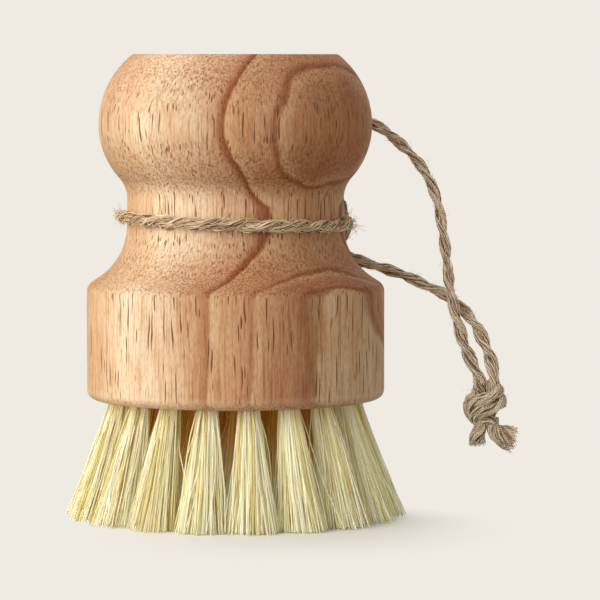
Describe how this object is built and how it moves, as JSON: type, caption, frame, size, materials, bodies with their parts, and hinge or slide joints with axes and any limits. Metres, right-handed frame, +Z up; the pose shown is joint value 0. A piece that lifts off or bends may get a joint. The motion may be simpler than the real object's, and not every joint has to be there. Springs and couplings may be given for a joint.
{
  "type": "palm brush",
  "caption": "Round palm brush with a turned wooden handle, fanned tufts of plant fibre and a hanging loop of jute twine tied round its waist.",
  "frame": {"origin": "on the surface that the brush stands on, under the axis of the turned handle", "axes": "+Z up along the axis of the handle, +X to the side where the twine hangs, -Y to the front"},
  "size_m": [0.0884, 0.0638, 0.09],
  "materials": {
    "wood": "bare sanded light hardwood, peach to tan, with reddish ring lines and short dark pores",
    "fibre": "stiff pale cream-yellow plant fibre, satin, darker between the tufts",
    "anchor": "plain flat brass wire",
    "twine": "laid jute twine, dull grey-brown, hairy"
  },
  "bodies": {
    "brush": {"handle": "wood", "tuft_centre": "fibre", "tuft_inner_01": "fibre", "tuft_inner_02": "fibre", "tuft_inner_03": "fibre", "tuft_inner_04": "fibre", "tuft_inner_05": "fibre", "tuft_inner_06": "fibre", "tuft_middle_01": "fibre", "tuft_middle_02": "fibre", "tuft_middle_03": "fibre", "tuft_middle_04": "fibre", "tuft_middle_05": "fibre", "tuft_middle_06": "fibre", "tuft_middle_07": "fibre", "tuft_middle_08": "fibre", "tuft_middle_09": "fibre", "tuft_middle_10": "fibre", "tuft_middle_11": "fibre", "tuft_middle_12": "fibre", "tuft_outer_01": "fibre", "tuft_outer_02": "fibre", "tuft_outer_03": "fibre", "tuft_outer_04": "fibre", "tuft_outer_05": "fibre", "tuft_outer_06": "fibre", "tuft_outer_07": "fibre", "tuft_outer_08": "fibre", "tuft_outer_09": "fibre", "tuft_outer_10": "fibre", "tuft_outer_11": "fibre", "tuft_outer_12": "fibre", "tuft_outer_13": "fibre", "tuft_outer_14": "fibre", "tuft_outer_15": "fibre", "tuft_outer_16": "fibre", "tuft_outer_17": "fibre", "tuft_outer_18": "fibre", "anchor_strips": "anchor"},
    "twine": {"neck_wrap": "twine", "half_hitch": "twine", "upper_strand": "twine", "lower_strand": "twine", "end_knot": "twine", "short_tail": "twine", "long_tail": "twine"}
  },
  "joints": [
    {"name": "twine_swivel", "type": "hinge", "parent": "brush", "child": "twine", "pos_m": [0, 0, 0.05775], "axis": [0, 0, 1], "continuous": true}
  ]
}
